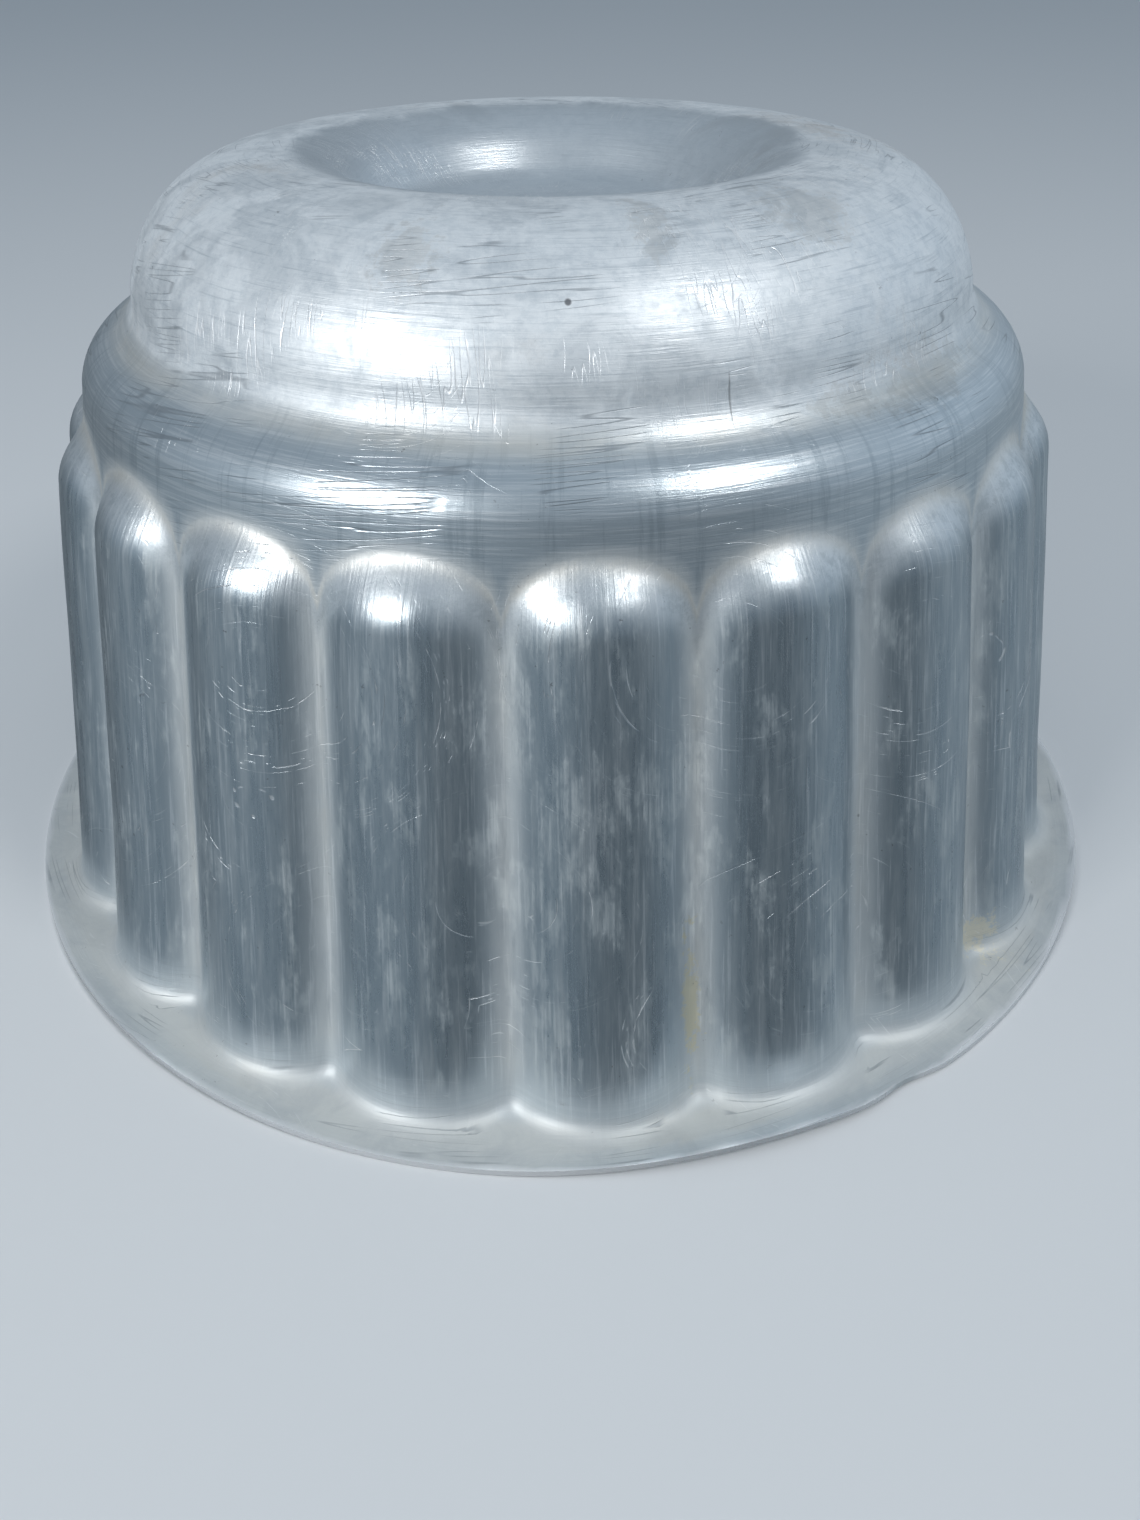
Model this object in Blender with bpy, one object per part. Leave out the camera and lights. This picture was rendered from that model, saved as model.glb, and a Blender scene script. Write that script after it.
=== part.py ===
"""Fluted pudding mould, pressed from one sheet of aluminium and standing mouth down.

A thin flat flange runs round the mouth. Above it the wall rises with a little draft and
carries a ring of rounded flutes with domed caps. A plain band ends in a rounded shoulder,
then a narrower crown steps up from it, with a wide blind dish sunk in its top.
Sizes are in millimetres and the mesh is in metres. +Z is up and the mouth lies on Z = 0.
"""

import bmesh
import bpy
import numpy as np

OBJECT = "fluted_pudding_mould"
NODE = "mould_shell"
MM = 0.001

# Sheet and flange
SHEET = 0.8
FLANGE_RADIUS = 85.0
FLANGE_WIDTH = 9.7
FLANGE_FILLET = 3.2

# Wall, a cone that stands on the flange and ends in a round shoulder
WALL_RADIUS = FLANGE_RADIUS - FLANGE_WIDTH
WALL_DRAFT = 0.135
SHOULDER_INSET = 10.1
SHOULDER_RADIUS = WALL_RADIUS - SHOULDER_INSET
CROWN_TOP = 101.9
CROWN_RISE = 19.9
SHOULDER_HEIGHT = CROWN_TOP - CROWN_RISE
SHOULDER_FILLET = 7.9
SHOULDER_START = 15.0
SHELF_SLOPE = 25.0

# Flutes, which stand out from the wall
FLUTES = 20
FLUTE_DEPTH = 4.1
FLUTE_DEPTH_LOST = 0.006
FLUTE_BULGE = 0.76
VALLEY_ROUND = 0.13
CAP_BELOW_SHOULDER = 9.2
CAP_HEIGHT = SHOULDER_HEIGHT - CAP_BELOW_SHOULDER
CAP_TALL = 8.0
CAP_TOE = 1.7
CAP_ROUND = 4.6
CAP_CORNER_DROP = 6.5
CAP_CORNER_START = 0.0

# Crown, with a squared-off round shoulder
SHELF_WIDTH = 7.7
CROWN_RADIUS = SHOULDER_RADIUS - SHELF_WIDTH
CROWN_SHOULDER_WIDE = 20.2
CROWN_SHOULDER_HIGH = 21.4
CROWN_SQUARENESS = 2.29

# Dish sunk in the crown
CROWN_FLAT = 1.6
DISH_LIP_RADIUS = CROWN_RADIUS - CROWN_SHOULDER_WIDE - CROWN_FLAT
DISH_LIP_ROUND = 12.6
DISH_WALL_ANGLE = 54.0
DISH_DEPTH = 9.0
DISH_FLOOR_FILLET = 4.0

# Where the columns of the mesh stand across one flute, whose valleys are at -1 and 1
FLUTE_COLUMNS = (-1.0, -0.86, -0.64, -0.34, 0.0, 0.34, 0.64, 0.86)
# Rows up the cap of a flute, by their height below its top
CAP_ROWS = (CAP_TALL, CAP_TALL - CAP_ROUND / 3, CAP_TALL - CAP_ROUND * 2 / 3, CAP_TALL - CAP_ROUND, CAP_TOE, 0.0)
CROWN_ROWS = (30.0, 41.0, 51.0, 62.0, 75.0, 90.0)
# Rounds of working out the bend that runs into the crown's wall
FIT_ROUNDS = 20
METAL_COLOUR = (0.66, 0.67, 0.69, 1.0)


def flute_shape(across):
    """Cross-section of a flute: 1 on the crest, 0 in the valley, with the valley rounded."""
    across = np.abs(across)
    edge = 1 - VALLEY_ROUND

    def bow(place):
        return np.sqrt(1 - (FLUTE_BULGE * place) ** 2)

    slope = -FLUTE_BULGE**2 * edge / bow(edge)
    past = np.clip(across - edge, 0, VALLEY_ROUND)
    rise = bow(np.minimum(across, edge)) + slope * (past - past**2 / (2 * VALLEY_ROUND))
    foot = bow(edge) + slope * VALLEY_ROUND / 2
    return (rise - foot) / (1 - foot)


def cap_top(across):
    """Height at which a flute ends, lower near its valleys so that the cap has round corners."""
    corner = np.clip((np.abs(across) - CAP_CORNER_START) / (1 - CAP_CORNER_START), 0, 1)
    return CAP_HEIGHT - CAP_CORNER_DROP * (1 - np.sqrt(1 - corner**2))


def cap_shape(below):
    """Share of the flute's depth at a height below its top: a hollow toe, a slope, then a round."""
    steep = 1 / (CAP_TALL - (CAP_TOE + CAP_ROUND) / 2)
    toe = np.minimum(below, CAP_TOE)
    slope = np.clip(below - CAP_TOE, 0, CAP_TALL - CAP_TOE - CAP_ROUND)
    bend = np.clip(below - CAP_TALL + CAP_ROUND, 0, CAP_ROUND)
    return steep * (toe**2 / (2 * CAP_TOE) + slope + bend - bend**2 / (2 * CAP_ROUND))


def fluted_rows():
    """Outer skin from the edge of the flange to the tops of the flutes, a row of (radius, height) each."""
    across = np.tile(np.array(FLUTE_COLUMNS), FLUTES)
    shape = flute_shape(across)
    foot = WALL_RADIUS + FLUTE_DEPTH * shape
    draft = WALL_DRAFT + FLUTE_DEPTH_LOST * shape
    lean = np.arctan(draft)
    middle_height = SHEET + FLANGE_FILLET
    middle = foot - draft * middle_height + FLANGE_FILLET / np.cos(lean)
    rows = [(np.full_like(across, FLANGE_RADIUS), np.full_like(across, SHEET))]
    for part in (0.0, 0.33, 0.67, 1.0):
        turn = -np.pi / 2 - part * (np.pi / 2 - lean)
        radius = middle + FLANGE_FILLET * np.cos(turn)
        rows.append((radius, middle_height + FLANGE_FILLET * np.sin(turn)))
    for below in CAP_ROWS:
        height = cap_top(across) - below
        depth = (FLUTE_DEPTH - FLUTE_DEPTH_LOST * height) * shape * cap_shape(below)
        rows.append((WALL_RADIUS - WALL_DRAFT * height + depth, height))
    return rows


def arc(middle, radius, start, end, count):
    """Points of an arc in the radius-height plane, with its angles in degrees."""
    turn = np.radians(np.linspace(start, end, count))
    return [(middle[0] + radius * np.cos(a), middle[1] + radius * np.sin(a)) for a in turn]


def crown_point(turn):
    """Point of the crown's shoulder, from 0 at its upright foot to 90 degrees on top."""
    turn = np.radians(turn)
    power = 2 / CROWN_SQUARENESS
    inset = CROWN_SHOULDER_WIDE * (1 - np.cos(turn) ** power)
    return CROWN_RADIUS - inset, CROWN_TOP - CROWN_SHOULDER_HIGH * (1 - np.sin(turn) ** power)


def crown_wall(height):
    """Radius of the crown at a height on its shoulder."""
    climbed = (height - CROWN_TOP) / CROWN_SHOULDER_HIGH + 1
    inset = 1 - (1 - climbed**CROWN_SQUARENESS) ** (1 / CROWN_SQUARENESS)
    return CROWN_RADIUS - CROWN_SHOULDER_WIDE * inset


def shelf_profile():
    """Rounded shoulder at the top of the wall, then the hollow bend at the foot of the crown."""
    middle = (SHOULDER_RADIUS - SHOULDER_FILLET, SHOULDER_HEIGHT - SHOULDER_FILLET)
    tilt = np.radians(90 - SHELF_SLOPE)
    shoulder = arc(middle, SHOULDER_FILLET, SHOULDER_START, 90 - SHELF_SLOPE, 5)
    radius, height = shoulder[-1]
    bend = SHOULDER_FILLET
    for _ in range(FIT_ROUNDS):
        bend = (radius - crown_wall(height + bend * np.sin(tilt))) / (1 - np.cos(tilt))
    middle = (radius + bend * np.cos(tilt), height + bend * np.sin(tilt))
    return shoulder + arc(middle, bend, 270 - SHELF_SLOPE, 180, 4)[1:]


def crown_profile():
    return [crown_point(turn) for turn in CROWN_ROWS]


def dish_profile():
    """Lip, sloping wall and floor fillet of the dish."""
    lip_height = CROWN_TOP - DISH_LIP_ROUND
    lip = arc((DISH_LIP_RADIUS, lip_height), DISH_LIP_ROUND, 90, 90 + DISH_WALL_ANGLE, 5)
    slope = np.radians(DISH_WALL_ANGLE)
    bends = (DISH_LIP_ROUND + DISH_FLOOR_FILLET) * (1 - np.cos(slope))
    run = (DISH_DEPTH - bends) / np.tan(slope)
    middle = (
        DISH_LIP_RADIUS - run - (DISH_LIP_ROUND + DISH_FLOOR_FILLET) * np.sin(slope),
        CROWN_TOP - DISH_DEPTH + DISH_FLOOR_FILLET,
    )
    floor = arc(middle, DISH_FLOOR_FILLET, 270 + DISH_WALL_ANGLE, 270, 4)
    return lip + floor


def ring(mesh, radius, height, angles):
    radius = np.broadcast_to(radius, angles.shape)
    height = np.broadcast_to(height, angles.shape)
    places = np.stack([radius * np.cos(angles), radius * np.sin(angles), height], -1) * MM
    return [mesh.verts.new(place) for place in places]


def join(mesh, lower, upper):
    """Faces between two rings, where the upper one has as many points or half as many."""
    step = len(lower) // len(upper)
    for i, corner in enumerate(upper):
        beside = upper[(i + 1) % len(upper)]
        first = lower[step * i]
        last = lower[(step * i + step) % len(lower)]
        if step == 1:
            mesh.faces.new((first, last, beside, corner))
            continue
        between = lower[step * i + 1]
        mesh.faces.new((first, between, corner))
        mesh.faces.new((between, beside, corner))
        mesh.faces.new((between, last, beside))


def outer_skin(mesh):
    """The outside of the sheet, as rings from the flange's edge in to the middle of the dish."""
    across = np.tile(np.array(FLUTE_COLUMNS), FLUTES)
    flute = np.repeat(np.arange(FLUTES), len(FLUTE_COLUMNS))
    angles = (flute + across / 2) * 2 * np.pi / FLUTES
    rings = [ring(mesh, radius, height, angles) for radius, height in fluted_rows()]
    for radius, height in shelf_profile() + crown_profile():
        rings.append(ring(mesh, radius, height, angles[::2]))
    for radius, height in dish_profile():
        rings.append(ring(mesh, radius, height, angles[::4]))
    for lower, upper in zip(rings, rings[1:]):
        join(mesh, lower, upper)
    middle = mesh.verts.new((0, 0, (CROWN_TOP - DISH_DEPTH) * MM))
    last = rings[-1]
    for i, corner in enumerate(last):
        mesh.faces.new((corner, last[(i + 1) % len(last)], middle))
    return rings


def add_inside(mesh, rings):
    """Copies the skin one sheet thickness inwards and closes the two at the flange's edge."""
    mesh.normal_update()
    skin = list(mesh.faces)
    inside = {}
    for vert in list(mesh.verts):
        place = vert.co - vert.normal * vert.calc_shell_factor() * SHEET * MM
        inside[vert] = mesh.verts.new(place)
    for vert in rings[0] + rings[1]:
        inside[vert].co = (vert.co.x, vert.co.y, 0)
    for face in skin:
        mesh.faces.new([inside[vert] for vert in reversed(face.verts)])
    edge = rings[0]
    for i, corner in enumerate(edge):
        beside = edge[(i + 1) % len(edge)]
        mesh.faces.new((beside, corner, inside[corner], inside[beside]))


def metal():
    material = bpy.data.materials.new("pressed_aluminium")
    material.use_nodes = True
    shader = material.node_tree.nodes["Principled BSDF"]
    shader.inputs["Base Color"].default_value = METAL_COLOUR
    shader.inputs["Metallic"].default_value = 1.0
    shader.inputs["Roughness"].default_value = 0.38
    return material


def build():
    for old in list(bpy.data.objects):
        bpy.data.objects.remove(old, do_unlink=True)
    mesh = bmesh.new()
    add_inside(mesh, outer_skin(mesh))
    for face in mesh.faces:
        face.smooth = True
    data = bpy.data.meshes.new(NODE)
    mesh.to_mesh(data)
    mesh.free()
    data.materials.append(metal())
    shell = bpy.data.objects.new(NODE, data)
    group = bpy.data.collections.new(OBJECT)
    bpy.context.scene.collection.children.link(group)
    group.objects.link(shell)


build()
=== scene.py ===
"""The fluted pudding mould, standing mouth down on a pale table.

The whole mould is one pressed shell. Its outside is a surface of two parameters: how far round
it a point lies, and how far along the profile from the flange's edge to the middle of the dish.
Sizes are worked out in millimetres and turned to metres when the mesh is made.
"""

from types import SimpleNamespace

import bpy
import numpy as np
from mathutils import Matrix, Vector


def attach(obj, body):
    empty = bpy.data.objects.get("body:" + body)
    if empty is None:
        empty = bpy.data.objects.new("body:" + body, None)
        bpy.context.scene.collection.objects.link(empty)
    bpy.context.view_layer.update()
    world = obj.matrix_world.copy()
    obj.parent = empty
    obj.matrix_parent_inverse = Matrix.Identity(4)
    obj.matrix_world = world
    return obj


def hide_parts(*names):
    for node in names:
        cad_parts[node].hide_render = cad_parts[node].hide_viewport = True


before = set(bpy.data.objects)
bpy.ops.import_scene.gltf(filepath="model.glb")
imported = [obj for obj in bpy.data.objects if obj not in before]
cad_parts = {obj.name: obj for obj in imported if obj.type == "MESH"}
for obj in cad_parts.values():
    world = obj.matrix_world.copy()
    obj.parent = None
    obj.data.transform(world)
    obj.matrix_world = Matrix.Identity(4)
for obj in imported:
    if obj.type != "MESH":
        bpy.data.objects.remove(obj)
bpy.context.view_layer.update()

MM = 0.001

# Sheet, flange and wall
SHEET = 0.8
FLANGE_RADIUS = 85.0
FLANGE_WIDTH = 9.7
FLANGE_FILLET = 3.2
WALL_RADIUS = FLANGE_RADIUS - FLANGE_WIDTH
WALL_DRAFT = 0.135
SHOULDER_INSET = 10.1
SHOULDER_RADIUS = WALL_RADIUS - SHOULDER_INSET
CROWN_TOP = 101.9
CROWN_RISE = 19.9
SHOULDER_HEIGHT = CROWN_TOP - CROWN_RISE
SHOULDER_FILLET = 7.9
SHOULDER_START = 15.0
SHELF_SLOPE = 25.0

# Flutes
FLUTES = 20
FLUTE_DEPTH = 4.1
FLUTE_DEPTH_LOST = 0.006
FLUTE_BULGE = 0.76
VALLEY_ROUND = 0.13
CAP_BELOW_SHOULDER = 9.2
CAP_HEIGHT = SHOULDER_HEIGHT - CAP_BELOW_SHOULDER
CAP_TALL = 8.0
CAP_TOE = 1.7
CAP_ROUND = 4.6
CAP_CORNER_DROP = 6.5
CAP_CORNER_START = 0.0

# Crown and dish
SHELF_WIDTH = 7.7
CROWN_RADIUS = SHOULDER_RADIUS - SHELF_WIDTH
CROWN_SHOULDER_WIDE = 20.2
CROWN_SHOULDER_HIGH = 21.4
CROWN_SQUARENESS = 2.29
CROWN_FLAT = 1.6
DISH_LIP_RADIUS = CROWN_RADIUS - CROWN_SHOULDER_WIDE - CROWN_FLAT
DISH_LIP_ROUND = 12.6
DISH_WALL_ANGLE = 54.0
DISH_DEPTH = 9.0
DISH_FLOOR_FILLET = 4.0

COLUMNS_PER_FLUTE = 20
FIT_ROUNDS = 20
FLANGE_ROWS = 5

# Signs of use on the flange, each (direction in degrees, half width in degrees, millimetres)
FLANGE_LIFTS = (
    (283, 15, 1.5),
    (225, 16, 0.7),
    (330, 10, 0.6),
    (95, 25, 0.9),
    (160, 18, 0.5),
    (20, 14, 0.5),
)
FLANGE_NICKS = ((262, 20, 0.35), (297, 3, 0.9), (200, 30, 0.3))
LIFT_START = 78.5
RIPPLE = 0.10
RIPPLE_OFFSET = 1.6

# Marks on the front, each (direction in degrees, radius, height, half width, half height)
SMUDGES = (
    (-112, 49, 99, 3.5, 3.5),
    (-81, 44, 101, 2.5, 3),
    (-55, 47, 100, 6, 3),
    (-46, 59, 83, 9, 3),
    (-60, 59, 83, 4, 2),
)
RUST = (-81.7, 73, 15, 1.2, 9)
LIME = (-43.5, 76, 4, 3.5, 3)
PIT = (-92.2, 53, 95.4, 0.42, 0.36)
UPRIGHT_NICK = (-75, 57.2, 85.4, 0.14, 3.2)
MARK_DEEP = 8.0
SCRATCH_WIDTH = 0.03

# Colours of the metal and of what lies on it
PALE = (0.88, 0.92, 0.95, 1)
GREY = (0.50, 0.56, 0.61, 1)
# The band's and the flutes' greys below sit under PALE as a painted dark reflection on the upright
# wall; the dark crest grey also stands for darker, smoother metal.
BAND = (0.58, 0.65, 0.70, 1)
DARK = (0.44, 0.51, 0.56, 1)
DEEP = (0.30, 0.36, 0.41, 1)
MIDDLE = (0.60, 0.65, 0.68, 1)
CROWN_DULL = (0.76, 0.81, 0.85, 1)
CROWN_SPOT = (0.42, 0.39, 0.36, 1)
DISH_GREY = (0.66, 0.71, 0.75, 1)
DULL_PATCH = (0.72, 0.76, 0.75, 1)
FLANGE_PALE = (0.70, 0.71, 0.69, 1)
FLANGE_GREY = (0.58, 0.60, 0.60, 1)
# The next two are chalky deposit in the creases, and along the caps' rims also a painted highlight.
CHALKY_DEPOSIT_AND_SHEEN = (0.86, 0.85, 0.81, 1)
WARM_DEPOSIT_AND_SHEEN = (0.74, 0.70, 0.62, 1)
SMUDGE_BROWN = (0.41, 0.40, 0.37, 1)
RUST_YELLOW = (0.74, 0.68, 0.46, 1)
LIME_CREAM = (0.84, 0.79, 0.64, 1)
PIT_BLACK = (0.06, 0.06, 0.07, 1)
NICK_BLACK = (0.12, 0.12, 0.13, 1)
CUT_GREY = (0.30, 0.33, 0.36, 1)
RUB_WHITE = (0.97, 0.98, 0.99, 1)
EDGE_WHITE = (0.95, 0.95, 0.96, 1)


# ---------------------------------------------------------------- shape of the shell


def flute_shape(across):
    """Cross-section of a flute, 1 on the crest and 0 in the valley.

    The height is an ellipse's, sqrt(1 - (bulge x)^2), out to the start of the valley, and then
    a parabola that lies level at the valley's bottom.
    """
    across = np.abs(across)
    edge = 1 - VALLEY_ROUND

    def bow(place):
        return np.sqrt(1 - (FLUTE_BULGE * place) ** 2)

    slope = -(FLUTE_BULGE**2) * edge / bow(edge)
    past = np.clip(across - edge, 0, VALLEY_ROUND)
    rise = bow(np.minimum(across, edge)) + slope * (past - past**2 / (2 * VALLEY_ROUND))
    foot = bow(edge) + slope * VALLEY_ROUND / 2
    return (rise - foot) / (1 - foot)


def cap_top(across):
    """Height where a flute ends: level over its middle, then a quarter ellipse down to the valley."""
    corner = np.clip((np.abs(across) - CAP_CORNER_START) / (1 - CAP_CORNER_START), 0, 1)
    return CAP_HEIGHT - CAP_CORNER_DROP * (1 - np.sqrt(1 - corner**2))


def cap_shape(below):
    """Share of the flute's depth at a height below its top.

    A parabola from the top as the hollow toe, a straight slope, then a parabola as the round.
    """
    steep = 1 / (CAP_TALL - (CAP_TOE + CAP_ROUND) / 2)
    toe = np.minimum(below, CAP_TOE)
    slope = np.clip(below - CAP_TOE, 0, CAP_TALL - CAP_TOE - CAP_ROUND)
    bend = np.clip(below - CAP_TALL + CAP_ROUND, 0, CAP_ROUND)
    return steep * (toe**2 / (2 * CAP_TOE) + slope + bend - bend**2 / (2 * CAP_ROUND))


def arc(middle, radius, start, end, count):
    """Points of an arc, middle + radius (cos, sin), with its angles in degrees."""
    turn = np.radians(np.linspace(start, end, count))
    return middle[0] + radius * np.cos(turn), middle[1] + radius * np.sin(turn)


def crown_point(turn):
    """Superellipse quarter of the crown: wide (1 - cos^(2/n)) in, high (1 - sin^(2/n)) down."""
    turn = np.radians(turn)
    power = 2 / CROWN_SQUARENESS
    radius = CROWN_RADIUS - CROWN_SHOULDER_WIDE * (1 - np.cos(turn) ** power)
    return radius, CROWN_TOP - CROWN_SHOULDER_HIGH * (1 - np.sin(turn) ** power)


def crown_wall(height):
    """Radius of the crown at a height, wide (1 - (1 - climbed^n)^(1/n)) in from its foot."""
    climbed = (height - CROWN_TOP) / CROWN_SHOULDER_HIGH + 1
    inset = 1 - (1 - climbed**CROWN_SQUARENESS) ** (1 / CROWN_SQUARENESS)
    return CROWN_RADIUS - CROWN_SHOULDER_WIDE * inset


def turned_profile():
    """(radius, height) of the shoulder, shelf, crown and dish, from the outside in.

    The hollow bend between shelf and crown is an arc that is tangent to the shoulder and
    whose far end lies on the crown's wall; its radius is found by repeated substitution.
    """
    middle = (SHOULDER_RADIUS - SHOULDER_FILLET, SHOULDER_HEIGHT - SHOULDER_FILLET)
    pieces = [arc(middle, SHOULDER_FILLET, SHOULDER_START, 90 - SHELF_SLOPE, 10)]
    radius, height = pieces[0][0][-1], pieces[0][1][-1]
    tilt = np.radians(90 - SHELF_SLOPE)
    bend = SHOULDER_FILLET
    for _ in range(FIT_ROUNDS):
        bend = (radius - crown_wall(height + bend * np.sin(tilt))) / (1 - np.cos(tilt))
    middle = (radius + bend * np.cos(tilt), height + bend * np.sin(tilt))
    foot = arc(middle, bend, 270 - SHELF_SLOPE, 180, 8)
    pieces.append((foot[0][1:], foot[1][1:]))
    climbed = (foot[1][-1] - CROWN_TOP) / CROWN_SHOULDER_HIGH + 1
    start = np.degrees(np.arcsin(climbed ** (CROWN_SQUARENESS / 2)))
    pieces.append(crown_point(np.linspace(start, 90, 24)[1:]))
    lip_middle = (DISH_LIP_RADIUS, CROWN_TOP - DISH_LIP_ROUND)
    pieces.append(arc(lip_middle, DISH_LIP_ROUND, 90, 90 + DISH_WALL_ANGLE, 14))
    slope = np.radians(DISH_WALL_ANGLE)
    bends = (DISH_LIP_ROUND + DISH_FLOOR_FILLET) * (1 - np.cos(slope))
    run = (DISH_DEPTH - bends) / np.tan(slope)
    floor_edge = DISH_LIP_RADIUS - run - (DISH_LIP_ROUND + DISH_FLOOR_FILLET) * np.sin(slope)
    floor = CROWN_TOP - DISH_DEPTH
    middle = (floor_edge, floor + DISH_FLOOR_FILLET)
    pieces.append(arc(middle, DISH_FLOOR_FILLET, 270 + DISH_WALL_ANGLE, 270, 7))
    inward = np.array([0.8, 0.6, 0.4, 0.2, 0.02])
    pieces.append((floor_edge * inward, np.full_like(inward, floor)))
    return np.concatenate([p[0] for p in pieces]), np.concatenate([p[1] for p in pieces])


def shell_grid():
    """Outer skin as arrays of radius and height, a row for each place along the profile.

    Columns share out each flute evenly. Below the cap the rows follow the flutes; above it
    they are plain circles. Also gives how much flute is left at each point.
    """
    count = FLUTES * COLUMNS_PER_FLUTE
    turn = np.arange(count) * 2 * np.pi / count
    across = (np.arange(count) / COLUMNS_PER_FLUTE + 0.5) % 1 * 2 - 1
    shape = flute_shape(across)
    foot = WALL_RADIUS + FLUTE_DEPTH * shape
    draft = WALL_DRAFT + FLUTE_DEPTH_LOST * shape
    lean = np.arctan(draft)
    middle_height = SHEET + FLANGE_FILLET
    middle = foot - draft * middle_height + FLANGE_FILLET / np.cos(lean)

    part = np.linspace(0, 1, FLANGE_ROWS + 1)[:-1, None]
    radius = FLANGE_RADIUS + (middle - FLANGE_RADIUS) * part
    height = np.full_like(radius, SHEET)
    bend = -np.pi / 2 - np.linspace(0, 1, 9)[:, None] * (np.pi / 2 - lean)
    radius = np.vstack([radius, middle + FLANGE_FILLET * np.cos(bend)])
    height = np.vstack([height, middle_height + FLANGE_FILLET * np.sin(bend)])
    left = np.ones_like(height)

    dome_foot = cap_top(across) - CAP_TALL
    rise = np.linspace(0, 1, 14)[1:-1, None]
    wall = height[-1] + (dome_foot - height[-1]) * rise
    below = np.linspace(CAP_TALL, 0, 20)[:, None]
    dome = cap_top(across) - below
    climb = np.vstack([wall, dome])
    kept = np.vstack([np.ones_like(wall), np.broadcast_to(cap_shape(below), dome.shape)])
    depth = (FLUTE_DEPTH - FLUTE_DEPTH_LOST * climb) * shape * kept
    radius = np.vstack([radius, WALL_RADIUS - WALL_DRAFT * climb + depth])
    height = np.vstack([height, climb])
    left = np.vstack([left, kept])

    band_foot = (radius[-1].copy(), height[-1].copy())
    plain_radius, plain_height = turned_profile()
    part = np.array([0.35, 0.7])[:, None]
    radius = np.vstack([radius, band_foot[0] + (plain_radius[0] - band_foot[0]) * part])
    height = np.vstack([height, band_foot[1] + (plain_height[0] - band_foot[1]) * part])
    radius = np.vstack([radius, np.repeat(plain_radius[:, None], count, 1)])
    height = np.vstack([height, np.repeat(plain_height[:, None], count, 1)])
    left = np.vstack([left, np.zeros((len(radius) - len(left), count))])
    return turn, across, radius, height, left * shape


def wave(turn, where, wide):
    """A bump of height 1 round one direction, exp(-(angle / wide)^2), angles in degrees."""
    away = (np.degrees(turn) - where + 180) % 360 - 180
    return np.exp(-((away / wide) ** 2))


def bumps(turn, places):
    """Sum of the waves of some (direction, half width, height) places."""
    return sum(high * wave(turn, where, wide) for where, wide, high in places)


def use_marks(turn, radius, height):
    """Small dents and bends from use: the flange lifts here and there, the skin ripples inwards.

    The flange lifts by a sum of bumps that grow from its fillet to its edge. The skin moves in
    by sines of the direction and height, never out, so that it stays inside its own outline.
    """
    reach = np.clip((radius - LIFT_START) / (FLANGE_RADIUS - LIFT_START), 0, 1) ** 1.5
    reach = reach * (height < SHEET + 1)
    height = height + reach * bumps(turn, FLANGE_LIFTS)
    radius = radius - bumps(turn, FLANGE_NICKS) * (radius > FLANGE_RADIUS - 1)
    steady = np.clip((height - 6) / 10, 0, 1)
    ripple = np.sin(3 * turn + height / 17 + 1) * np.sin(height / 11 - 2 * turn)
    ripple = ripple + 0.6 * np.sin(7 * turn - height / 9) * np.sin(height / 7 + 5 * turn + 2)
    radius = radius - steady * RIPPLE * (ripple + RIPPLE_OFFSET) * np.clip(radius / 30, 0, 1)
    return radius, height


def skin_points(turn, radius, height):
    """Points (radius cos, radius sin, height) of a skin, as rows by columns by three."""
    return np.stack([radius * np.cos(turn), radius * np.sin(turn), height], -1)


def skin_normals(points):
    """Outward unit normals: the cross product of the differences round and along the grid."""
    round_step = np.roll(points, -1, 1) - np.roll(points, 1, 1)
    along_step = np.gradient(points, axis=0)
    normal = np.cross(round_step, along_step)
    return normal / np.linalg.norm(normal, axis=2, keepdims=True)


def grid_faces(rows, columns, first, inward):
    """Square faces of a closed-round grid whose points start at first, turned over if inward."""
    row, column = np.meshgrid(np.arange(rows - 1), np.arange(columns), indexing="ij")
    beside = (column + 1) % columns
    corners = [
        row * columns + column,
        row * columns + beside,
        (row + 1) * columns + beside,
        (row + 1) * columns + column,
    ]
    faces = np.stack(corners, -1).reshape(-1, 4) + first
    return faces[:, ::-1] if inward else faces


def shell_faces(rows, columns):
    """All faces: both skins, the cut edge that joins them, and a fan over each middle."""
    size = rows * columns
    squares = [grid_faces(rows, columns, 0, False), grid_faces(rows, columns, size, True)]
    column = np.arange(columns)
    beside = (column + 1) % columns
    squares.append(np.stack([beside, column, column + size, beside + size], -1))
    last = size - columns
    outer_middle = np.full(columns, 2 * size)
    fans = [np.stack([last + column, last + beside, outer_middle], -1)]
    fans.append(np.stack([size + last + beside, size + last + column, outer_middle + 1], -1))
    return np.vstack(squares).tolist() + np.vstack(fans).tolist()


def ramp(value, start, width):
    """0 up to start and 1 past start + width, straight between."""
    return np.clip((value - start) / width, 0, 1)


def line_at(value, middle, width):
    """1 at the middle, falling away as exp(-((value - middle) / width)^2)."""
    return np.exp(-(((value - middle) / width) ** 2))


def wrapped_place(turn, radius, height, outer):
    """Place for brushed patterns, in metres: a cylinder whose height runs along the skin.

    Up the wall it is the height itself, and from the first plain circle inwards it is the mean
    length walked, so that its level lines stay circles.
    """
    step = np.linalg.norm(np.diff(outer, axis=0), axis=2).mean(1, keepdims=True)
    walked = np.cumsum(step, axis=0)
    level = int(np.argmax((np.ptp(height, axis=1) < 1e-9) & (height[:, 0] > CAP_HEIGHT)))
    along = height - np.clip(radius - 79.5, 0, None) * (height < 4)
    along[level:] = height[level, 0] + walked[level - 1:] - walked[level - 1]
    round_x = 76 * np.cos(turn) + along * 0
    round_y = 76 * np.sin(turn) + along * 0
    return np.stack([round_x, round_y, along], -1) * MM


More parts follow.
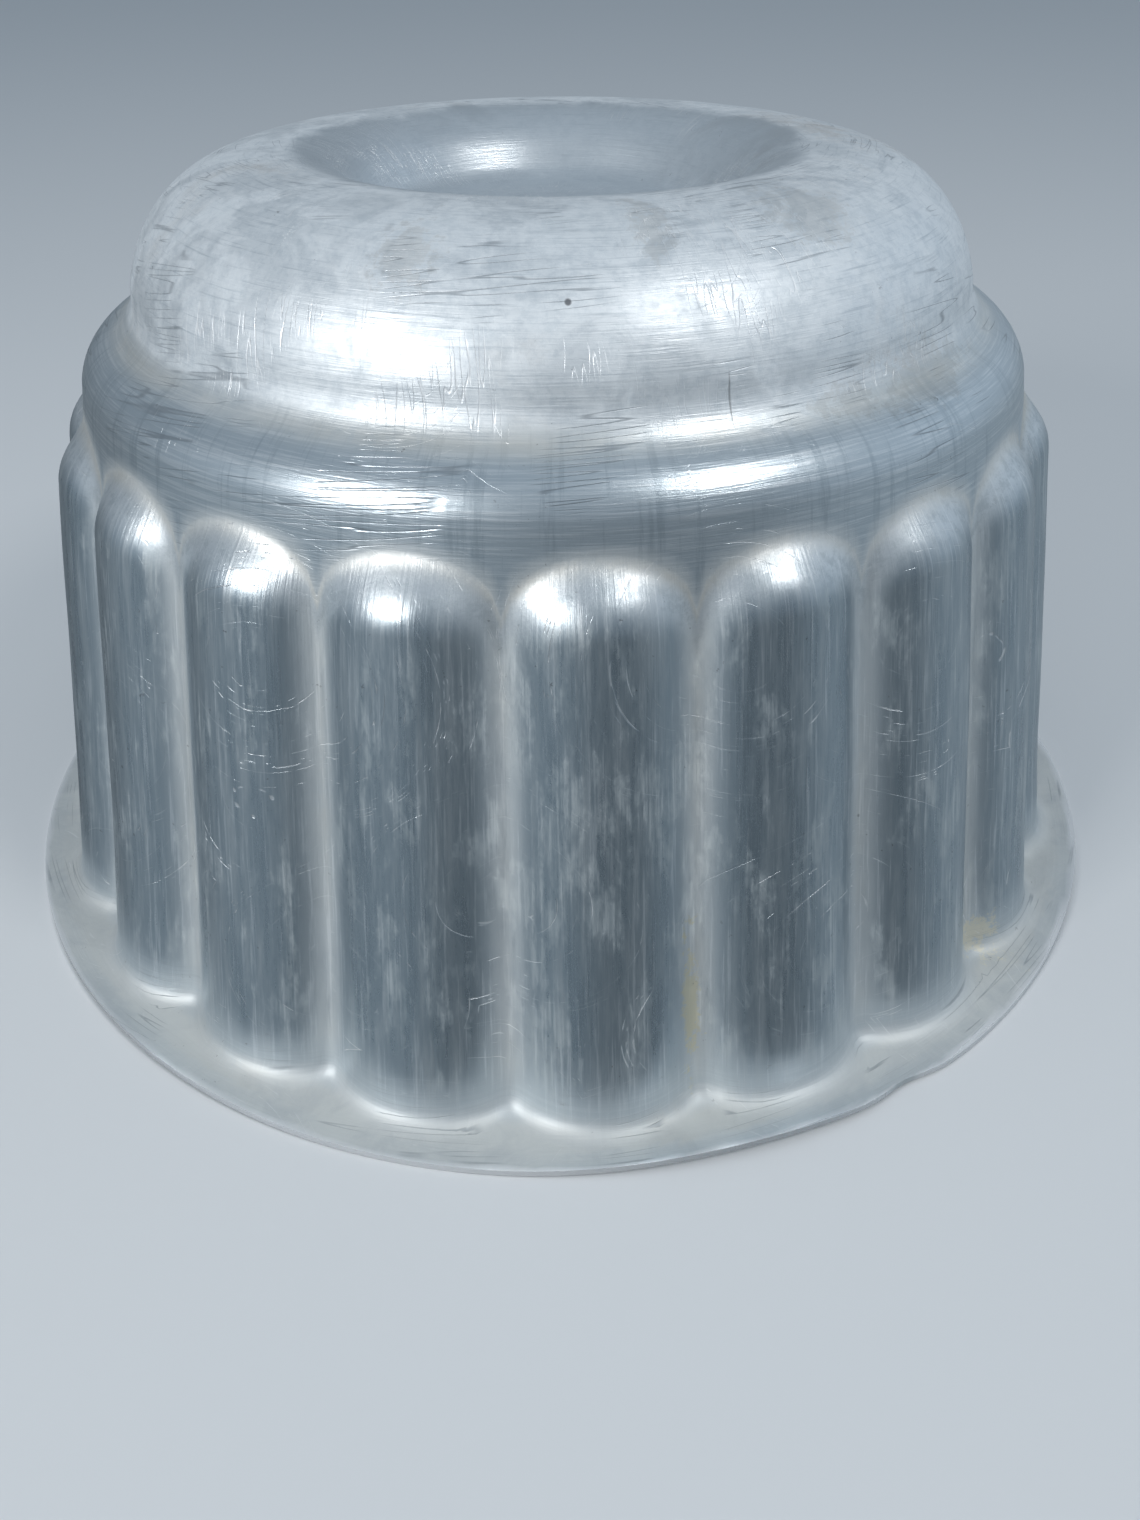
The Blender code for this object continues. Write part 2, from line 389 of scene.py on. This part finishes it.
def zone_values(across, radius, height, crest):
    """How far each point belongs to each zone of the shell, from 0 to 1, three zones a layer."""
    top = cap_top(across)
    fluted = ramp(top + 0.3 - height, 0, 1.2) * ramp(height, 1.5, 4)
    crown = ramp(height, SHOULDER_HEIGHT + 0.8, 1.5)
    flange = ramp(2.2 - height, 0, 1.5) * ramp(radius, 76, 2)
    step_line = line_at(height, SHOULDER_HEIGHT + 0.4, 1.6) * line_at(radius, 59.2, 2.2)
    # Along each cap's rim: chalky deposit, and also a painted highlight of the rim.
    cap_rim_deposit_and_sheen = line_at(height, top - 0.9, 1.1) * (height > 30)
    base_line = line_at(height, SHEET + 1.0, 1.2) * (radius < 82)
    valley = np.clip(1 - crest / 0.16, 0, 1) * fluted * ramp(top - height, 0, 6)
    crease = np.maximum(np.maximum(0.9 * step_line, cap_rim_deposit_and_sheen), 0.5 * np.maximum(valley, base_line))
    dish = ramp(DISH_LIP_RADIUS + 1 - radius, 0, 5) * crown
    foot = ramp(11 - height, 0, 10) ** 1.5
    cap = ramp(height, top - 0.8 * CAP_TALL, 2.5) * fluted
    cut_edge = ramp(radius, FLANGE_RADIUS - 0.9, 0.3)
    return {
        "zones": np.stack([crest, fluted, crown], -1),
        "more": np.stack([flange, crease, dish], -1),
        "ends": np.stack([foot, cap, cut_edge], -1),
    }


def lay(data, name, values):
    """Stores a vector for each point: the same on both skins, and a mean at each middle."""
    ends = values[-1].mean(0)
    skin = values.reshape(-1, 3)
    layer = data.attributes.new(name, "FLOAT_VECTOR", "POINT")
    everywhere = np.vstack([skin, skin, ends, ends]).astype(np.float32)
    layer.data.foreach_set("vector", everywhere.ravel())


def build_shell():
    """The shell as one closed mesh: outer skin, inner skin, cut edge and the two middles."""
    turn, across, radius, height, crest = shell_grid()
    radius, height = use_marks(turn, radius, height)
    outer = skin_points(turn, radius, height)
    on_flange = (np.arange(len(radius)) < FLANGE_ROWS)[:, None, None]
    normal = np.where(on_flange, np.array([0.0, 0.0, 1.0]), skin_normals(outer))
    inner = outer - SHEET * normal
    floor = CROWN_TOP - DISH_DEPTH
    middles = np.array([[0, 0, floor], [0, 0, floor - SHEET]])
    points = np.vstack([outer.reshape(-1, 3), inner.reshape(-1, 3), middles])
    faces = shell_faces(*radius.shape)

    data = bpy.data.meshes.new("pressed_shell")
    data.from_pydata((points * MM).tolist(), [], faces)
    data.polygons.foreach_set("use_smooth", np.ones(len(faces), bool))
    lay(data, "wrap", wrapped_place(turn, radius, height, outer))
    for name, values in zone_values(across, radius, height, crest).items():
        lay(data, name, values)
    data.set_sharp_from_angle(angle=np.radians(50))
    shell = bpy.data.objects.new("pressed_shell", data)
    bpy.context.scene.collection.objects.link(shell)
    return shell


# ---------------------------------------------------------------- finish of the metal


class Nodes:
    """Short ways to add the nodes of one material."""

    def __init__(self, name):
        self.material = bpy.data.materials.new(name)
        self.material.use_nodes = True
        self.tree = self.material.node_tree
        self.shader = self.tree.nodes["Principled BSDF"]

    def add(self, kind, **settings):
        node = self.tree.nodes.new(kind)
        for key, value in settings.items():
            setattr(node, key, value)
        return node

    def put(self, socket, value):
        if isinstance(value, bpy.types.NodeSocket):
            self.tree.links.new(value, socket)
        else:
            socket.default_value = value

    def math(self, operation, first, second=0.0, clamp=False):
        node = self.add("ShaderNodeMath", operation=operation, use_clamp=clamp)
        self.put(node.inputs[0], first)
        self.put(node.inputs[1], second)
        return node.outputs[0]

    def times(self, first, second):
        return self.math("MULTIPLY", first, second)

    def plus(self, first, second):
        return self.math("ADD", first, second)

    def less(self, value):
        return self.math("SUBTRACT", 1.0, value)

    def around(self, noise, strength):
        """A noise moved to lie about 0, and strengthened."""
        return self.times(self.math("SUBTRACT", noise, 0.5), strength)

    def part_of(self, name):
        """The three numbers of a vector attribute."""
        node = self.add("ShaderNodeAttribute", attribute_name=name)
        split = self.add("ShaderNodeSeparateXYZ")
        self.put(split.inputs[0], node.outputs["Vector"])
        return split.outputs[0], split.outputs[1], split.outputs[2]

    def stretched(self, source, scale, turn=(0, 0, 0), move=(0, 0, 0)):
        node = self.add("ShaderNodeMapping")
        self.put(node.inputs["Vector"], source)
        node.inputs["Scale"].default_value = scale
        node.inputs["Rotation"].default_value = turn
        node.inputs["Location"].default_value = move
        return node.outputs[0]

    def noise(self, source, scale, detail=3.0, rough=0.55, warp=0.0):
        node = self.add("ShaderNodeTexNoise")
        self.put(node.inputs["Vector"], source)
        node.inputs["Scale"].default_value = scale
        node.inputs["Detail"].default_value = detail
        node.inputs["Roughness"].default_value = rough
        node.inputs["Distortion"].default_value = warp
        return node.outputs["Fac"]

    def between(self, value, low, high, out_low=0.0, out_high=1.0):
        node = self.add("ShaderNodeMapRange", clamp=True, interpolation_type="SMOOTHSTEP")
        self.put(node.inputs["Value"], value)
        node.inputs["From Min"].default_value = low
        node.inputs["From Max"].default_value = high
        node.inputs["To Min"].default_value = out_low
        node.inputs["To Max"].default_value = out_high
        return node.outputs["Result"]

    def blend(self, share, first, second):
        node = self.add("ShaderNodeMix", data_type="RGBA")
        self.put(node.inputs["Factor"], share)
        self.put(node.inputs["A"], first)
        self.put(node.inputs["B"], second)
        return node.outputs["Result"]

    def mean(self, share, first, second):
        node = self.add("ShaderNodeMix", data_type="FLOAT")
        self.put(node.inputs["Factor"], share)
        self.put(node.inputs["A"], first)
        self.put(node.inputs["B"], second)
        return node.outputs["Result"]


def straight_scratches(nodes, wrap, scale, turn, move):
    """Thin lines where a drawn-out noise passes its middle."""
    laid = nodes.stretched(nodes.stretched(wrap, (1, 1, 1), turn, move), scale)
    ridge = nodes.math("ABSOLUTE", nodes.math("SUBTRACT", nodes.noise(laid, 1.0, 0.0, 0.4), 0.5))
    return nodes.between(ridge, 0.0, SCRATCH_WIDTH, 1.0, 0.0)


def scouring_arcs(nodes, wrap):
    """Short fine arcs left by a scouring pad: a noise of the distance from scattered points."""
    cells = nodes.add("ShaderNodeTexVoronoi")
    laid = nodes.stretched(wrap, (1, 1, 1.3), (0.2, 0.1, 0.3), (0.013, 0.004, 0.021))
    nodes.put(cells.inputs["Vector"], laid)
    cells.inputs["Scale"].default_value = 28
    ring = nodes.add("ShaderNodeCombineXYZ")
    nodes.put(ring.inputs[0], nodes.times(cells.outputs["Distance"], 95))
    nodes.put(ring.inputs[1], nodes.times(nodes.noise(wrap, 210, 1.0, 0.5), 3.0))
    lines = nodes.noise(ring.outputs[0], 1.0, 2.0, 0.8)
    return nodes.between(lines, 0.62, 0.70)


def mark_at(nodes, place, mark, ragged):
    """1 inside an egg-shaped patch on the skin, 0 outside; ragged is a noise that frets its edge."""
    azimuth, radius, height, wide, high = mark
    middle = (-radius * MM, 0, -height * MM)
    facing = nodes.stretched(place, (1, 1, 1), (0, 0, -np.radians(azimuth)), middle)
    scaled = nodes.stretched(facing, (1 / (MARK_DEEP * MM), 1 / (wide * MM), 1 / (high * MM)))
    reach = nodes.add("ShaderNodeVectorMath", operation="LENGTH")
    nodes.put(reach.inputs[0], scaled)
    return nodes.between(nodes.plus(reach.outputs["Value"], ragged), 0.55, 1.1, 1.0, 0.0)


def wear_patterns(nodes):
    """The shell's zones, the noises that its wear follows, and the shares made from both."""
    wear = SimpleNamespace()
    wear.place = nodes.add("ShaderNodeTexCoord").outputs["Object"]
    wear.wrap = nodes.add("ShaderNodeAttribute", attribute_name="wrap").outputs["Vector"]
    wear.crest, wear.fluted, wear.crown = nodes.part_of("zones")
    wear.flange, wear.crease, wear.dish = nodes.part_of("more")
    wear.foot, wear.cap, wear.cut_edge = nodes.part_of("ends")

    def brushed(scale, detail, rough):
        return nodes.noise(nodes.stretched(wear.wrap, scale), 1.0, detail, rough)

    wear.brush_up = brushed((1900, 1900, 60), 4.0, 0.7)
    wear.brush_wide = brushed((520, 520, 42), 7.0, 0.72)
    wear.brush_round = brushed((60, 60, 2600), 3.0, 0.7)
    wear.brush_round_wide = brushed((30, 30, 420), 5.0, 0.7)
    wear.blotch = nodes.noise(wear.place, 85, 8.0, 0.72, 0.6)
    wear.cloud = nodes.noise(wear.place, 26, 4.0, 0.6)
    wear.mottle = nodes.noise(wear.place, 600, 5.0, 0.74)
    wear.speckle = nodes.noise(wear.place, 800, 4.0, 0.7)
    patch_place = nodes.stretched(wear.wrap, (190, 190, 70), (0, 0, 0), (2, 5, 1))
    patch = nodes.noise(patch_place, 1.0, 8.0, 0.74, 0.15)

    brushed_crest = nodes.plus(wear.crest, nodes.around(wear.brush_wide, 0.9))
    wear.crest_share = nodes.between(brushed_crest, 0.08, 0.55)
    streaks = nodes.between(wear.brush_up, 0.34, 0.54, 0.2, 1.0)
    below_cap = nodes.times(wear.fluted, nodes.less(wear.cap))
    wear.dull = nodes.times(nodes.times(nodes.between(patch, 0.50, 0.64), streaks), below_cap)
    ragged_dish = nodes.plus(wear.dish, nodes.around(wear.blotch, 2.2))
    wear.inner = nodes.between(ragged_dish, 0.25, 0.95)
    # Chalky deposit in the creases; along the caps' rims also a painted highlight.
    wear.dried = nodes.times(wear.crease, nodes.between(wear.blotch, 0.30, 0.56, 0.45, 1.0))
    wear.arcs, wear.cuts, wear.rubs = scratches(nodes, wear)
    return wear


def scratches(nodes, wear):
    """Scouring arcs mostly on the flutes, dark cuts round the plain metal, pale rubs on the crown."""
    patchy = nodes.between(nodes.noise(wear.place, 60, 2.0, 0.5), 0.50, 0.60)
    other = nodes.between(nodes.noise(wear.place, 75, 2.0, 0.5), 0.40, 0.49, 1.0, 0.0)
    arcs = nodes.times(scouring_arcs(nodes, wear.wrap), nodes.plus(patchy, 0.30))
    arcs = nodes.times(arcs, nodes.mean(wear.fluted, 0.35, 1.0))
    plain = nodes.times(nodes.less(wear.fluted), nodes.less(wear.inner))
    cuts = straight_scratches(nodes, wear.wrap, (34, 34, 1000), (0.12, 0.06, 0.0), (0.5, 0.7, 0.2))
    cuts = nodes.times(nodes.times(cuts, other), plain)
    rubs = straight_scratches(nodes, wear.wrap, (900, 900, 60), (0.15, 0.10, 0.1), (0.2, 0.3, 0.9))
    rubs = nodes.times(nodes.times(rubs, patchy), wear.crown)
    return arcs, cuts, rubs


def crown_colour(nodes, wear):
    """Dull pale metal with grey stains, brown spots and rubbed rings; the dish is a plainer grey."""
    colour = nodes.blend(nodes.between(wear.mottle, 0.42, 0.66), PALE, CROWN_DULL)
    colour = nodes.blend(nodes.between(wear.blotch, 0.50, 0.66, 0.0, 0.36), colour, GREY)
    spots = nodes.times(nodes.between(wear.cloud, 0.52, 0.66), nodes.between(wear.blotch, 0.44, 0.60))
    colour = nodes.blend(nodes.times(spots, 0.55), colour, CROWN_SPOT)
    colour = nodes.blend(nodes.between(wear.brush_round, 0.54, 0.74, 0.0, 0.55), colour, GREY)
    colour = nodes.blend(nodes.between(wear.brush_round_wide, 0.56, 0.72, 0.0, 0.45), colour, GREY)
    return nodes.blend(nodes.times(wear.inner, 0.65), colour, DISH_GREY)


def flute_colour(nodes, wear):
    """Dark brushed crests and lighter flanks, both greyer than the crown as a painted dark reflection,
    the crests also darker, smoother metal; pale hairlines and dull patches.
    """
    colour = nodes.blend(wear.crest_share, MIDDLE, DARK)
    colour = nodes.blend(nodes.between(wear.brush_wide, 0.44, 0.66, 0.0, 0.75), colour, MIDDLE)
    colour = nodes.blend(nodes.between(wear.brush_wide, 0.28, 0.48, 0.45, 0.0), colour, DEEP)
    colour = nodes.blend(nodes.between(wear.brush_up, 0.52, 0.70, 0.0, 0.60), colour, PALE)
    return nodes.blend(nodes.times(wear.dull, 0.34), colour, DULL_PATCH)


def band_colour(nodes, wear):
    """The plain band above the flutes: a grey that is a painted dark reflection, with pale rings
    crossed by dark upright streaks.
    """
    colour = nodes.blend(nodes.between(wear.brush_round, 0.44, 0.66, 0.0, 0.55), BAND, PALE)
    return nodes.blend(nodes.between(wear.brush_wide, 0.50, 0.64, 0.0, 0.60), colour, DARK)


def with_ends(nodes, wear, colour):
    """Adds the rubbed caps, the dull foot, the flange, and the chalky deposit in the creases, which
    along the caps' rims is also a painted highlight.
    """
    cap_metal = nodes.blend(nodes.between(wear.mottle, 0.42, 0.64), PALE, MIDDLE)
    colour = nodes.blend(nodes.times(wear.cap, 0.55), colour, cap_metal)
    colour = nodes.blend(nodes.times(wear.foot, 0.7), colour, MIDDLE)
    flange_metal = nodes.blend(nodes.between(wear.blotch, 0.4, 0.65), FLANGE_PALE, FLANGE_GREY)
    colour = nodes.blend(nodes.times(wear.flange, 0.9), colour, flange_metal)
    # Chalky deposit in the creases, on the caps' rims also a painted highlight.
    deposit_and_sheen_tint = nodes.blend(nodes.between(wear.cloud, 0.42, 0.60), CHALKY_DEPOSIT_AND_SHEEN, WARM_DEPOSIT_AND_SHEEN)
    return nodes.blend(nodes.times(wear.dried, 0.60), colour, deposit_and_sheen_tint)


def with_marks(nodes, wear, colour):
    """Adds the smudges, the rust, the lime, the pit with its upright nick, and scattered nicks."""
    fret = nodes.plus(nodes.around(wear.blotch, 3.0), nodes.around(wear.mottle, 3.5))
    smudge = mark_at(nodes, wear.place, SMUDGES[0], fret)
    for mark in SMUDGES[1:]:
        smudge = nodes.math("MAXIMUM", smudge, mark_at(nodes, wear.place, mark, fret))
    colour = nodes.blend(nodes.times(smudge, 0.28), colour, SMUDGE_BROWN)
    rust = mark_at(nodes, wear.place, RUST, fret)
    colour = nodes.blend(nodes.times(rust, 0.6), colour, RUST_YELLOW)
    lime = mark_at(nodes, wear.place, LIME, fret)
    colour = nodes.blend(nodes.times(lime, 0.7), colour, LIME_CREAM)
    upright = nodes.times(mark_at(nodes, wear.place, UPRIGHT_NICK, 0.0), 0.6)
    pit = nodes.math("MAXIMUM", mark_at(nodes, wear.place, PIT, 0.0), upright)
    colour = nodes.blend(nodes.times(pit, 0.8), colour, PIT_BLACK)
    nick = nodes.times(nodes.between(wear.speckle, 0.67, 0.72), nodes.between(wear.cloud, 0.42, 0.60))
    return nodes.blend(nodes.times(nick, 0.6), colour, NICK_BLACK)


def metal_colour(nodes, wear):
    """Band, crown and flutes by zone, then what lies on them, then scratches and the cut edge."""
    # The band's and the flutes' greys hold a painted dark reflection.
    colour = nodes.blend(wear.crown, band_colour(nodes, wear), crown_colour(nodes, wear))
    colour = nodes.blend(wear.fluted, colour, flute_colour(nodes, wear))
    colour = with_marks(nodes, wear, with_ends(nodes, wear, colour))
    colour = nodes.blend(nodes.times(wear.cuts, 0.60), colour, CUT_GREY)
    light_marks = nodes.math("MAXIMUM", wear.arcs, wear.rubs)
    colour = nodes.blend(nodes.times(light_marks, 0.64), colour, RUB_WHITE)
    return nodes.blend(nodes.times(wear.cut_edge, 0.8), colour, EDGE_WHITE)


def metal_roughness(nodes, wear):
    """Polished crests, a duller crown, and the dullest metal on the foot and the flange."""
    flute = nodes.mean(wear.crest_share, 0.50, 0.29)
    flute = nodes.plus(flute, nodes.between(wear.brush_wide, 0.3, 0.7, -0.06, 0.10))
    flute = nodes.plus(flute, nodes.times(wear.dull, 0.14))
    crown = nodes.plus(0.47, nodes.between(wear.blotch, 0.40, 0.65, -0.07, 0.10))
    rough = nodes.mean(wear.crown, nodes.plus(0.31, nodes.times(wear.dull, 0.1)), crown)
    rough = nodes.mean(wear.fluted, rough, flute)
    rough = nodes.mean(wear.inner, rough, 0.37)
    rough = nodes.mean(wear.cap, rough, nodes.between(wear.mottle, 0.4, 0.6, 0.32, 0.40))
    rough = nodes.plus(rough, nodes.times(wear.dried, 0.12))
    for zone, value in ((wear.foot, 0.56), (wear.flange, 0.58), (wear.cut_edge, 0.25)):
        rough = nodes.mean(zone, rough, value)
    return nodes.math("MAXIMUM", rough, 0.12)


def bare_metal(nodes, wear):
    """Share of bare metal: least where the crown is stained, the flange dull, or in the creases with
    chalky deposit and, along the caps' rims, painted highlight.
    """
    bare = nodes.mean(wear.crown, 0.90, nodes.between(wear.blotch, 0.40, 0.62, 0.68, 0.42))
    bare = nodes.mean(wear.fluted, bare, nodes.mean(wear.crest_share, 0.80, 0.95))
    bare = nodes.plus(bare, nodes.times(wear.dull, -0.14))
    bare = nodes.plus(bare, nodes.times(wear.dried, -0.20))
    for zone, value in ((wear.inner, 0.85), (wear.cap, 0.84), (wear.foot, 0.70), (wear.flange, 0.45)):
        bare = nodes.mean(zone, bare, value)
    return nodes.math("MAXIMUM", bare, 0.2)


def relief(nodes, wear):
    """Fine relief: brushing and blotches stand up, and scratches are cut in."""
    grain = nodes.mean(wear.fluted, wear.brush_round, wear.brush_up)
    height = nodes.plus(nodes.times(grain, 0.5), nodes.times(wear.blotch, 0.6))
    cut_in = nodes.plus(wear.arcs, nodes.plus(wear.cuts, wear.rubs))
    height = nodes.plus(height, nodes.times(cut_in, -0.4))
    bump = nodes.add("ShaderNodeBump")
    bump.inputs["Strength"].default_value = 0.7
    bump.inputs["Distance"].default_value = 0.00014
    nodes.put(bump.inputs["Height"], height)
    return bump.outputs["Normal"]


def worn_aluminium():
    """Old pressed aluminium: brushed flutes, a dull stained crown, scratches, nicks and deposits."""
    nodes = Nodes("worn_aluminium")
    wear = wear_patterns(nodes)
    inputs = nodes.shader.inputs
    nodes.put(inputs["Base Color"], metal_colour(nodes, wear))
    nodes.put(inputs["Roughness"], metal_roughness(nodes, wear))
    nodes.put(inputs["Metallic"], bare_metal(nodes, wear))
    nodes.put(inputs["Normal"], relief(nodes, wear))
    return nodes.material


# ---------------------------------------------------------------- table, light and camera

TABLE_HALF = 3.0
WINDOW_LIGHT = (1.0, 0.985, 0.96)
ROOM_LIGHT = (0.96, 0.99, 1.0)


def table():
    """A pale table top: one wide square under the mould. The metal doesn't mirror it."""
    half = TABLE_HALF
    corners = [(-half, -half, 0), (half, -half, 0), (half, half, 0), (-half, half, 0)]
    data = bpy.data.meshes.new("table_top")
    data.from_pydata(corners, [], [(0, 1, 2, 3)])
    top = bpy.data.objects.new("table_top", data)
    bpy.context.scene.collection.objects.link(top)
    nodes = Nodes("pale_table")
    nodes.shader.inputs["Base Color"].default_value = (0.70, 0.72, 0.74, 1)
    nodes.shader.inputs["Roughness"].default_value = 0.8
    data.materials.append(nodes.material)
    top.visible_glossy = False
    return top


def soft_light(name, azimuth, elevation, distance, wide, high, power, colour):
    """A rectangular lamp that faces the mould, placed by its direction from the mould's middle."""
    data = bpy.data.lights.new(name, "AREA")
    data.shape = "RECTANGLE"
    data.size = wide
    data.size_y = high
    data.energy = power
    data.color = colour
    lamp = bpy.data.objects.new(name, data)
    bpy.context.scene.collection.objects.link(lamp)
    turn, rise = np.radians(azimuth), np.radians(elevation)
    aim = Vector((0, 0, 0.06))
    away = Vector((np.cos(rise) * np.cos(turn), np.cos(rise) * np.sin(turn), np.sin(rise)))
    lamp.location = aim + away * distance
    lamp.rotation_euler = away.to_track_quat("Z", "Y").to_euler()
    return lamp


def sky():
    """Studio surround: dim below the level, soft grey above, with a broad glow on either side."""
    world = bpy.data.worlds.new("studio")
    bpy.context.scene.world = world
    world.use_nodes = True
    tree = world.node_tree
    back = tree.nodes["Background"]
    where = tree.nodes.new("ShaderNodeTexCoord").outputs["Generated"]
    split = tree.nodes.new("ShaderNodeSeparateXYZ")
    tree.links.new(where, split.inputs[0])
    rise = tree.nodes.new("ShaderNodeMapRange")
    rise.inputs["From Min"].default_value = -1
    tree.links.new(split.outputs[2], rise.inputs["Value"])
    shade = tree.nodes.new("ShaderNodeValToRGB")
    tones = shade.color_ramp.elements
    tones[0].position, tones[0].color = 0.42, (0.13, 0.155, 0.175, 1)
    tones[1].position, tones[1].color = 1.0, (0.30, 0.36, 0.42, 1)
    tones.new(0.56).color = (0.20, 0.235, 0.27, 1)
    tree.links.new(rise.outputs["Result"], shade.inputs[0])
    tree.links.new(shade.outputs[0], back.inputs[0])

    def glow(direction, start, least, most):
        """Brightness that grows from least to most as a ray turns to face a direction."""
        facing = tree.nodes.new("ShaderNodeVectorMath")
        facing.operation = "DOT_PRODUCT"
        facing.inputs[1].default_value = direction
        tree.links.new(where, facing.inputs[0])
        bright = tree.nodes.new("ShaderNodeMapRange")
        bright.interpolation_type = "SMOOTHSTEP"
        bright.inputs["From Min"].default_value = start
        bright.inputs["To Min"].default_value = least
        bright.inputs["To Max"].default_value = most
        tree.links.new(facing.outputs["Value"], bright.inputs["Value"])
        return bright.outputs["Result"]

    both = tree.nodes.new("ShaderNodeMath")
    tree.links.new(glow((-0.84, -0.42, -0.34), 0.45, 1.0, 1.9), both.inputs[0])
    tree.links.new(glow((0.95, 0.25, -0.15), 0.35, 0.0, 1.1), both.inputs[1])
    tree.links.new(both.outputs[0], back.inputs[1])


# The camera's place, in flange radii from the mould's axis and mouth, and its aim in radians
CAMERA_BACK = 2.1863
CAMERA_UP = 1.5702
CAMERA_YAW = 0.0105
CAMERA_DOWN = 0.5459
CAMERA_ROLL = -0.0093
CAMERA_ROUND = 0.0673
CAMERA_LENS = 41.35
CAMERA_SHIFT = -0.0875


def camera():
    """Camera at the mould's front, looking down on it, turned a little so that no flute is central."""
    down, yaw = CAMERA_DOWN, CAMERA_YAW
    forward = Vector((np.sin(yaw) * np.cos(down), np.cos(yaw) * np.cos(down), -np.sin(down)))
    right = Vector((np.cos(yaw), -np.sin(yaw), 0))
    up = right.cross(forward)
    roll_right = right * np.cos(CAMERA_ROLL) + up * np.sin(CAMERA_ROLL)
    roll_up = up * np.cos(CAMERA_ROLL) - right * np.sin(CAMERA_ROLL)
    axes = Matrix((roll_right, roll_up, -forward)).transposed().to_4x4()
    place = Vector((0, -CAMERA_BACK, CAMERA_UP)) * FLANGE_RADIUS * MM
    data = bpy.data.cameras.new("camera")
    data.sensor_fit = "HORIZONTAL"
    data.sensor_width = 36
    data.lens = CAMERA_LENS
    data.shift_y = CAMERA_SHIFT
    data.clip_start = 0.01
    item = bpy.data.objects.new("camera", data)
    bpy.context.scene.collection.objects.link(item)
    item.matrix_world = Matrix.Rotation(-CAMERA_ROUND, 4, "Z") @ Matrix.Translation(place) @ axes
    bpy.context.scene.camera = item


camera()
bpy.context.scene.view_settings.view_transform = "Standard"
sky()
soft_light("window_left", -136, 25, 0.8, 0.25, 0.15, 2.2, WINDOW_LIGHT)
soft_light("window_right", -46, 48, 0.8, 0.16, 0.16, 1.3, WINDOW_LIGHT)
overhead = soft_light("overhead", -110, 75, 1.2, 1.4, 1.2, 2.8, ROOM_LIGHT)
overhead.visible_glossy = False
table()

shell = build_shell()
shell.data.materials.append(worn_aluminium())
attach(shell, "root")
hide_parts("mould_shell")
